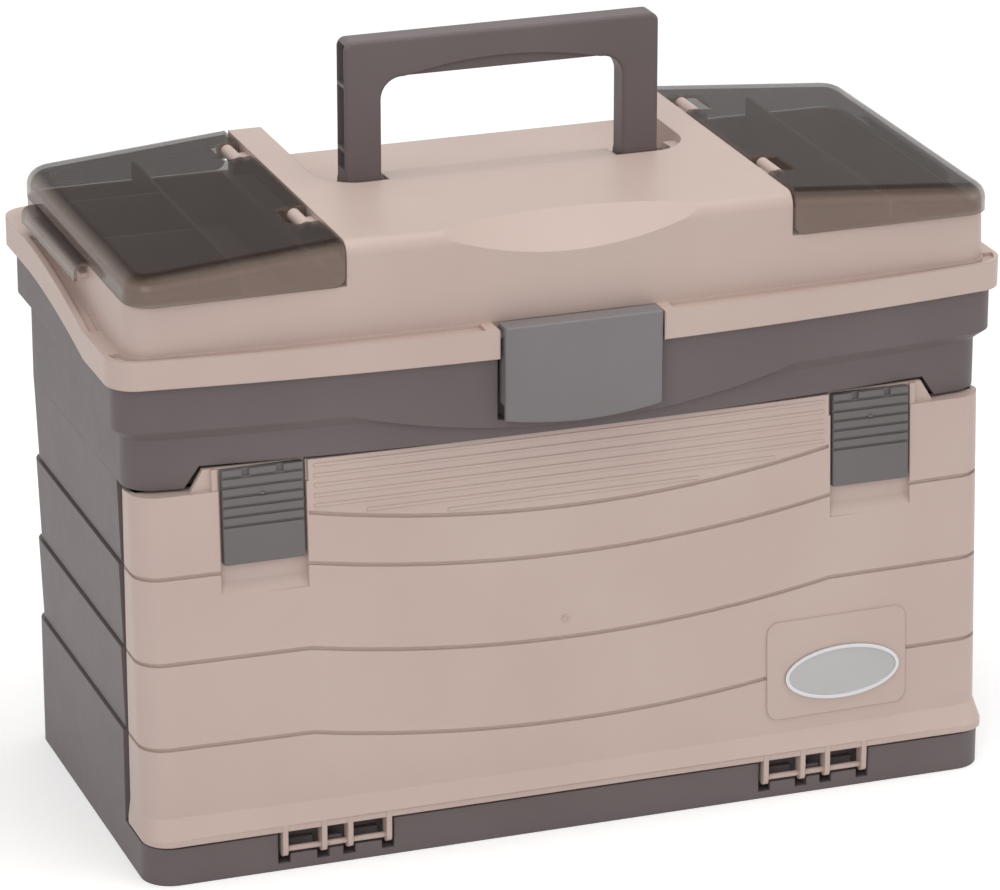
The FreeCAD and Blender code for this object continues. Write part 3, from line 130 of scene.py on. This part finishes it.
def per_metre(size_in_mm):
    """Texture scale for a pattern whose grains are that many millimetres across."""
    return 1.0 / (size_in_mm * mm)


def seen_directly(tree):
    """One for what the camera sees, straight or in gloss or through glass, and else zero."""
    seen = add(tree, "ShaderNodeLightPath")
    glossy = add(tree, "ShaderNodeMath", {"operation": "MAXIMUM"},
                 links={0: seen.outputs["Is Camera Ray"], 1: seen.outputs["Is Glossy Ray"]})
    return add(tree, "ShaderNodeMath", {"operation": "MAXIMUM"},
               links={0: glossy.outputs[0], 1: seen.outputs["Is Transmission Ray"]}).outputs[0]


print("beige in linear light:", [round(c, 3) for c in linear("C6B2A8")])

# %% [markdown]
# ## Moulded plastic
# The big shells are injection moulded polypropylene. The steel mould is spark eroded, so
# the surface has a fine satin grain and never a clean mirror. Up close the colour drifts
# a little, because the pigment flows with the plastic. Three layers do it: a very slow
# noise for the flow, a finer one for the gloss, and a grain for the bump. The real grain
# is about a tenth of a millimetre, too fine to see here, so it is drawn coarser. A bevel
# node rounds the sharp edges in the shading, as every moulded edge has a small radius.


# %% Moulded plastic
flow_mm = 90.0
gloss_mm = 12.0
gloss_spread = 0.05
polypropylene_ior = 1.49


def moulded_plastic(name, colour, flow_colour, roughness, sheen_level, grain_mm, grain_depth_mm, edge_mm):
    """Two close colours that drift with the flow, a drifting gloss, a grain and soft edges."""
    made, tree, output, place = new_material(name)
    flow = add(tree, "ShaderNodeTexNoise", inputs={"Scale": per_metre(flow_mm), "Detail": 3.0},
               links={"Vector": place})
    spread = add(tree, "ShaderNodeMapRange",
                 inputs={"From Min": 0.3, "From Max": 0.7, "To Min": 0.0, "To Max": 1.0},
                 links={"Value": flow.outputs["Fac"]})
    tint = add(tree, "ShaderNodeMix", {"data_type": "RGBA"},
               links={"Factor": spread.outputs["Result"]})
    tint.inputs["A"].default_value = linear(colour)
    tint.inputs["B"].default_value = linear(flow_colour)
    gloss = add(tree, "ShaderNodeTexNoise", inputs={"Scale": per_metre(gloss_mm), "Detail": 5.0},
                links={"Vector": place})
    polish = add(tree, "ShaderNodeMapRange",
                 inputs={"To Min": roughness - gloss_spread, "To Max": roughness + gloss_spread},
                 links={"Value": gloss.outputs["Fac"]})
    grain = add(tree, "ShaderNodeTexNoise", inputs={"Scale": per_metre(grain_mm), "Detail": 2.0},
                links={"Vector": place})
    edge = add(tree, "ShaderNodeBevel", {"samples": 4}, {"Radius": edge_mm * mm})
    bump = add(tree, "ShaderNodeBump", inputs={"Strength": 0.5, "Distance": grain_depth_mm * mm},
               links={"Height": grain.outputs["Fac"], "Normal": edge.outputs["Normal"]})
    shader = add(tree, "ShaderNodeBsdfPrincipled",
                 inputs={"IOR": polypropylene_ior, "Specular IOR Level": sheen_level},
                 links={"Base Color": tint.outputs["Result"],
                        "Roughness": polish.outputs["Result"],
                        "Normal": bump.outputs["Normal"]})
    tree.links.new(shader.outputs["BSDF"], output.inputs["Surface"])
    return made


# Sand polypropylene: a warm pinkish beige, satin from the mould.
sand_plastic = moulded_plastic("sand_polypropylene", "C4AFA7", "C9B5AC", 0.42, 0.35, 1.4, 0.05, 0.9)
# Graphite polypropylene: a warm dark grey that scatters a wide soft highlight.
graphite_plastic = moulded_plastic("graphite_polypropylene", "6B6162", "716768", 0.46, 0.22, 1.4, 0.06, 0.9)
# Latch polypropylene: a touch cooler and lighter than the shell, from its own batch.
latch_plastic = moulded_plastic("grey_polypropylene", "7A7677", "817C7E", 0.40, 0.3, 1.2, 0.04, 0.6)
# Slide polypropylene: the same grey a shade darker, as the slides are moulded with the door.
slide_plastic = moulded_plastic("slide_grey_polypropylene", "6F6A6B", "757071", 0.40, 0.25, 1.2, 0.04, 0.6)
# Divider polypropylene: no pigment, so a milky white.
divider_plastic = moulded_plastic("natural_polypropylene", "DAD8D0", "E0DED6", 0.38, 0.4, 1.2, 0.03, 0.3)
moulded = (sand_plastic, graphite_plastic, latch_plastic, slide_plastic, divider_plastic)
print("moulded plastics:", len(moulded))

# %% [markdown]
# ## Smoke plastic
# The access doors are polycarbonate with a smoke dye. Light goes in and out through thin
# walls, and each surface takes a share of it, so the wells below show as dark brown
# shapes. A see-through share on a dark brown shader does this at every surface. The
# light that runs along inside the sheet and comes out at the walls and rounded edges
# is painted light, a paler colour on the parts that don't face up; they also get more gloss than the flat
# top.


# %% Smoke plastic
cloud_mm = 60.0
sheet_edge_mm = 0.8
polycarbonate_ior = 1.58
sheet_roughness = 0.14
sheet_share = 0.55


def smoke_polycarbonate():
    """Dark dye on faces that look up; on the walls and edges a paler colour of painted light, and more
    gloss.
    """
    made, tree, output, place = new_material("smoke_polycarbonate")
    cloud = add(tree, "ShaderNodeTexNoise", inputs={"Scale": per_metre(cloud_mm), "Detail": 2.0},
                links={"Vector": place})
    faces = add(tree, "ShaderNodeNewGeometry")
    split = add(tree, "ShaderNodeSeparateXYZ", links={"Vector": faces.outputs["Normal"]})
    upward = add(tree, "ShaderNodeMapRange", inputs={"From Min": 0.45, "From Max": 0.95},
                 links={"Value": split.outputs["Z"]})
    top_dye = add(tree, "ShaderNodeMix", {"data_type": "RGBA"}, links={"Factor": cloud.outputs["Fac"]})
    top_dye.inputs["A"].default_value = linear("25170F")
    top_dye.inputs["B"].default_value = linear("2C1D15")
    # Faces that look up take the dark dye; the others take 8C786D, a paler colour of painted light.
    dye_and_painted_edge_light = add(tree, "ShaderNodeMix", {"data_type": "RGBA"},
              links={"Factor": upward.outputs["Result"], "B": top_dye.outputs["Result"]})
    dye_and_painted_edge_light.inputs["A"].default_value = linear("8C786D")
    gloss = add(tree, "ShaderNodeMapRange", inputs={"To Min": 0.4, "To Max": 0.04},
                links={"Value": upward.outputs["Result"]})
    edge = add(tree, "ShaderNodeBevel", {"samples": 4}, {"Radius": sheet_edge_mm * mm})
    shader = add(tree, "ShaderNodeBsdfPrincipled",
                 inputs={"IOR": polycarbonate_ior, "Roughness": sheet_roughness, "Alpha": sheet_share},
                 links={"Base Color": dye_and_painted_edge_light.outputs["Result"], "Specular IOR Level": gloss.outputs["Result"],
                        "Normal": edge.outputs["Normal"]})
    tree.links.new(shader.outputs["BSDF"], output.inputs["Surface"])
    return made


smoke_plastic = smoke_polycarbonate()
print("smoke plastic:", smoke_plastic.name)

# %% [markdown]
# ## Steel pins and the bare badge
# The pins are drawn steel wire, and the badge is a foil-faced plate left blank. Both are
# metals, so their colour is the colour of the reflection. Drawing leaves fine lines along
# the wire; the foil has a soft, even satin.


# %% Metals
line_stretch = 20
satin_spread = 0.08


def satin_metal(name, colour, roughness, line_mm):
    """A metal whose gloss varies in fine lines along X."""
    made, tree, output, place = new_material(name)
    stretch = add(tree, "ShaderNodeMapping", links={"Vector": place})
    stretch.inputs["Scale"].default_value = (per_metre(line_mm * line_stretch), per_metre(line_mm),
                                           per_metre(line_mm))
    lines = add(tree, "ShaderNodeTexNoise", inputs={"Scale": 1.0, "Detail": 3.0},
                links={"Vector": stretch.outputs["Vector"]})
    polish = add(tree, "ShaderNodeMapRange",
                 inputs={"To Min": roughness - satin_spread, "To Max": roughness + satin_spread},
                 links={"Value": lines.outputs["Fac"]})
    shader = add(tree, "ShaderNodeBsdfPrincipled",
                 inputs={"Base Color": linear(colour), "Metallic": 1.0},
                 links={"Roughness": polish.outputs["Result"]})
    tree.links.new(shader.outputs["BSDF"], output.inputs["Surface"])
    return made


# Drawn steel: neutral grey with fine lines along the wire.
pin_steel = satin_metal("drawn_steel", "B5B3B0", 0.32, 0.6)
# Satin foil: brighter and softer than the steel.
badge_foil = satin_metal("satin_foil", "C9C9CC", 0.38, 0.8)
print("metals:", pin_steel.name, badge_foil.name)

# %% [markdown]
# ## Dressing the shells
# Each shell is kept as it is and only gets its finish.

# %% Finishes of the shells
finishes = {
    sand_plastic: ["lid", "front_door", "drawer_1", "drawer_2", "drawer_3", "drawer_4"],
    graphite_plastic: ["cabinet_shell", "upper_bin", "carry_handle", "handle_pins"],
    latch_plastic: ["lid_latch"],
    slide_plastic: ["left_door_latch", "right_door_latch"],
    smoke_plastic: ["left_access_door", "right_access_door"],
    divider_plastic: ["drawer_1_dividers", "drawer_2_dividers", "drawer_3_dividers", "drawer_4_dividers"],
    pin_steel: ["lid_latch_pin", "lid_hinge_pins"],
    badge_foil: ["badge_plate"],
}
for finish, names in finishes.items():
    for name in names:
        node[name].data.materials.clear()
        node[name].data.materials.append(finish)
print("dressed:", sum(len(names) for names in finishes.values()), "of", len(node))

# %% [markdown]
# ## Placing small relief on a shell
# The relief below sits on curved and leaning faces. A ray shot from the front at a shell
# gives the point that it meets and the way the face looks there, and a turn built from
# that direction stands a new piece square on the face.


# %% Surface helpers
def face_point(shell, x, z):
    """Where a ray from the front meets a shell, and the outward direction there."""
    _, place, outward, _ = node[shell].ray_cast(Vector((x, 2 * cad_low.y, z)), Vector((0, 1, 0)))
    return place, outward


def facing(outward):
    """The turn that stands a piece made along Z on a face, with its X axis level."""
    level = Vector((0, 0, 1)).cross(outward).normalized()
    return Matrix((level, outward.cross(level), outward)).transposed().to_quaternion()


def start_piece(name):
    """Names the primitive just made and opens it for editing with nothing selected."""
    made = bpy.context.object
    made.name = name
    bpy.ops.object.mode_set(mode="EDIT")
    bpy.ops.mesh.select_all(action="DESELECT")
    return made


def select_faces(made, wanted):
    """Selects the faces for which a test on the face holds, in edit mode."""
    bpy.ops.mesh.select_all(action="DESELECT")
    bpy.ops.object.mode_set(mode="OBJECT")
    for face in made.data.polygons:
        face.select = wanted(face)
    bpy.ops.object.mode_set(mode="EDIT")
    bpy.ops.mesh.select_mode(type="FACE")


def close_piece(made, finish, body, round_mm=0.0):
    """Applies place and edge rounding, then gives the piece its finish and its body."""
    bpy.ops.object.mode_set(mode="OBJECT")
    bpy.ops.object.transform_apply(location=True, rotation=True, scale=True)
    if round_mm:
        rounding = made.modifiers.new("rounding", "BEVEL")
        rounding.width = round_mm * mm
        rounding.segments = 2
        rounding.limit_method = "ANGLE"
        bpy.ops.object.modifier_apply(modifier=rounding.name)
    if not made.data.materials:
        made.data.materials.append(finish)
    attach(made, body)
    print(made.name, "faces:", len(made.data.polygons))


# %% [markdown]
# ## Ribs on the drop-down door
# Between the two slide latches the door has fine level ribs, which stiffen the thin
# panel and hide scratches. Each starts as a flat strip in front of the door. The strips
# are pushed back onto the bowed, leaning face by a shrinkwrap, thickened, and rounded.
# The low ones are shorter, because the panel's edge dips in the middle.

# %% Door ribs
rib_count = 7
rib_pitch = 5.6 * mm
rib_first = 226.0 * mm
rib_width = 1.8 * mm
rib_proud = 0.45 * mm
rib_sunk = 0.3 * mm
rib_cuts = 23
rib_round_mm = 0.3
strip_place = 1.2 * cad_low.y
panel_half = 146.0 * mm
edge_ends = 203.0 * mm
edge_dip = 14.0 * mm


def rib_half_length(height):
    """Half the length at which a rib stays above the dipping edge of the panel."""
    below_share = max(0.0, (edge_ends - height) / edge_dip)
    return panel_half * math.sqrt(max(0.0, 1.0 - below_share))


strips = []
for index in range(rib_count):
    height = rib_first - index * rib_pitch
    half_length = rib_half_length(height)
    bpy.ops.object.select_all(action="DESELECT")
    bpy.ops.mesh.primitive_plane_add(size=1.0, location=(0, strip_place, height),
                                     rotation=(math.pi / 2, 0, 0))
    strip = start_piece("rib_strip")
    bpy.ops.mesh.select_all(action="SELECT")
    bpy.ops.transform.resize(value=(2 * half_length, 1.0, rib_width))
    bpy.ops.mesh.subdivide(number_cuts=rib_cuts)
    bpy.ops.object.mode_set(mode="OBJECT")
    strips.append(strip)
for strip in strips:
    strip.select_set(True)
bpy.context.view_layer.objects.active = strips[0]
bpy.ops.object.join()
door_ribs = bpy.context.object
door_ribs.name = "door_ribs"
bpy.ops.object.transform_apply(location=True, rotation=True, scale=True)
wrap = door_ribs.modifiers.new("wrap", "SHRINKWRAP")
wrap.target = node["front_door"]
wrap.wrap_method = "PROJECT"
wrap.use_project_y = True
bpy.ops.object.modifier_apply(modifier=wrap.name)
body = door_ribs.modifiers.new("body", "SOLIDIFY")
body.thickness = rib_proud + rib_sunk
body.offset = (rib_proud - rib_sunk) / (rib_proud + rib_sunk)
bpy.ops.object.modifier_apply(modifier=body.name)
close_piece(door_ribs, sand_plastic, "front_door_panel", rib_round_mm)

# %% [markdown]
# ## Gate marks
# Molten plastic enters a mould through a small gate, and where it is cut off a button
# with a dimple stays behind. There is one in the middle of the door and one on each
# slide latch. The button is a short cylinder whose cap is inset and pushed in.


# %% Gate marks
gate_sides = 24
gate_rim_share = 0.4
dimple_share = 0.7
gate_round_share = 0.15
cap_share = 0.9


def gate_mark(name, shell, place_mm, radius_mm, proud_mm, finish, body, slot):
    """A low button with a dimple, square on the face that it stands on."""
    x, z = place_mm
    place, outward = face_point(shell, x * mm, z * mm)
    bpy.ops.object.select_all(action="DESELECT")
    bpy.ops.mesh.primitive_cylinder_add(vertices=gate_sides, radius=radius_mm * mm,
                                        depth=2 * proud_mm * mm, location=place)
    made = bpy.context.object
    made.rotation_mode = "QUATERNION"
    made.rotation_quaternion = facing(outward)
    made = start_piece(name)
    select_faces(made, lambda face: face.normal.z > cap_share)
    bpy.ops.mesh.inset(thickness=gate_rim_share * radius_mm * mm)
    bpy.ops.mesh.extrude_region_move(
        TRANSFORM_OT_translate={"value": outward * (-dimple_share * proud_mm * mm)})
    close_piece(made, finish, body, gate_round_share * radius_mm)


# Each mark's place is its x and z in millimetres.
door_gate = {"place_mm": (-6.0, 122.0), "radius_mm": 2.1, "proud_mm": 0.6}
left_gate = {"place_mm": (-174.5, 214.6), "radius_mm": 1.5, "proud_mm": 0.7}
right_gate = {"place_mm": (173.5, 214.6), "radius_mm": 1.5, "proud_mm": 0.7}
gate_mark("door_gate_mark", "front_door", finish=sand_plastic, body="front_door_panel",
          slot="sand_plastic", **door_gate)
gate_mark("left_latch_gate_mark", "left_door_latch", finish=slide_plastic, body="left_slide",
          slot="latch_plastic", **left_gate)
gate_mark("right_latch_gate_mark", "right_door_latch", finish=slide_plastic, body="right_slide",
          slot="latch_plastic", **right_gate)

# %% [markdown]
# ## The bare badge
# The plate on the label pad is an oval of foil-faced plastic. It is left blank. It
# starts as a cylinder drawn out to an oval; its cap is inset and pushed in, which
# leaves a raised rim round a flat field of paler film.

# %% Badge
badge_low, badge_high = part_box("badge_plate")
badge_middle = (badge_low + badge_high) / 2
badge_half_length = 34.5 * mm
badge_half_height = 15.5 * mm
badge_thickness = 1.6 * mm
badge_rim = 2.2 * mm
badge_field_drop = 0.7 * mm
badge_round_mm = 0.4
badge_sides = 96
field_film = moulded_plastic("blank_label_film", "B9B8B8", "C0BFBF", 0.35, 0.5, 0.9, 0.01, 0.2)

badge_face, badge_outward = face_point("badge_plate", badge_middle.x, badge_middle.z)
bpy.ops.object.select_all(action="DESELECT")
bpy.ops.mesh.primitive_cylinder_add(vertices=badge_sides, radius=1.0, depth=1.0,
                                    location=badge_face - badge_outward * (badge_thickness / 2))
badge = bpy.context.object
badge.rotation_mode = "QUATERNION"
badge.rotation_quaternion = facing(badge_outward)
badge.scale = (badge_half_length, badge_half_height, badge_thickness)
bpy.ops.object.transform_apply(location=False, rotation=False, scale=True)
badge = start_piece("bare_badge")
badge.data.materials.append(badge_foil)
badge.data.materials.append(field_film)
select_faces(badge, lambda face: face.normal.z > cap_share)
bpy.ops.mesh.inset(thickness=badge_rim)
bpy.ops.mesh.extrude_region_move(TRANSFORM_OT_translate={"value": badge_outward * -badge_field_drop})
badge.active_material_index = 1
bpy.ops.object.material_slot_assign()
close_piece(badge, badge_foil, "front_door_panel", badge_round_mm)
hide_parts("badge_plate")

# %% [markdown]
# ## Floor and light
# A catalogue photograph stands the object on a white sweep. The floor takes the light
# like pale paper, so the cabinet has a soft contact shadow, and adds a little light of
# its own for the camera only, which turns it to clean white. The lamps are large and
# soft, so that plastic shows broad highlights and no hard glints.

# %% Floor
floor_size = 8.0
floor_glow = 0.35
bpy.ops.object.select_all(action="DESELECT")
bpy.ops.mesh.primitive_plane_add(size=floor_size, location=(0, 0, cad_low.z))
floor = bpy.context.object
floor.name = "floor"
paper, tree, output, place = new_material("white_paper")
lift = add(tree, "ShaderNodeMath", {"operation": "MULTIPLY"}, {1: floor_glow}, {0: seen_directly(tree)})
matt = add(tree, "ShaderNodeBsdfDiffuse", inputs={"Color": linear("F4F4F4")})
glow = add(tree, "ShaderNodeEmission", links={"Strength": lift.outputs[0]})
both = add(tree, "ShaderNodeAddShader", links={0: matt.outputs[0], 1: glow.outputs[0]})
tree.links.new(both.outputs[0], output.inputs["Surface"])
floor.data.materials.append(paper)
print("floor:", floor_size, "m")

# %% World and lamps
white = (1, 1, 1, 1)
fill_strength = 0.5
sweep_strength = 1.0
world = bpy.data.worlds.new("studio")
bpy.context.scene.world = world
world.use_nodes = True
tree = world.node_tree
tree.nodes.clear()
fill = add(tree, "ShaderNodeBackground", inputs={"Color": white, "Strength": fill_strength})
sweep = add(tree, "ShaderNodeBackground", inputs={"Color": white, "Strength": sweep_strength})
choice = add(tree, "ShaderNodeMixShader",
             links={0: seen_directly(tree), 1: fill.outputs[0], 2: sweep.outputs[0]})
output = add(tree, "ShaderNodeOutputWorld", links={"Surface": choice.outputs[0]})

bpy.context.scene.view_settings.view_transform = "Standard"


def soft_box(name, place, target, size, power, tint):
    """A square area lamp that looks at a point."""
    bpy.ops.object.light_add(type="AREA", location=place)
    lamp = bpy.context.object
    lamp.name = name
    lamp.data.size = size
    lamp.data.energy = power
    lamp.data.color = tint
    lamp.rotation_mode = "QUATERNION"
    lamp.rotation_quaternion = (Vector(target) - Vector(place)).to_track_quat("-Z", "Y")
    return lamp


middle = (0.0, 0.0, 0.2)
warm_white = (1.0, 0.985, 0.94)
soft_white = (1.0, 0.98, 0.975)
lamps = [
    soft_box("overhead", (0.3, -0.2, 2.6), middle, size=2.0, power=28.0, tint=warm_white),
    soft_box("front_left", (-1.8, -2.2, 1.6), middle, size=1.6, power=20.0, tint=soft_white),
    soft_box("front_right", (2.2, -1.8, 1.2), middle, size=1.4, power=8.0, tint=soft_white),
]
print("lamps:", len(lamps))
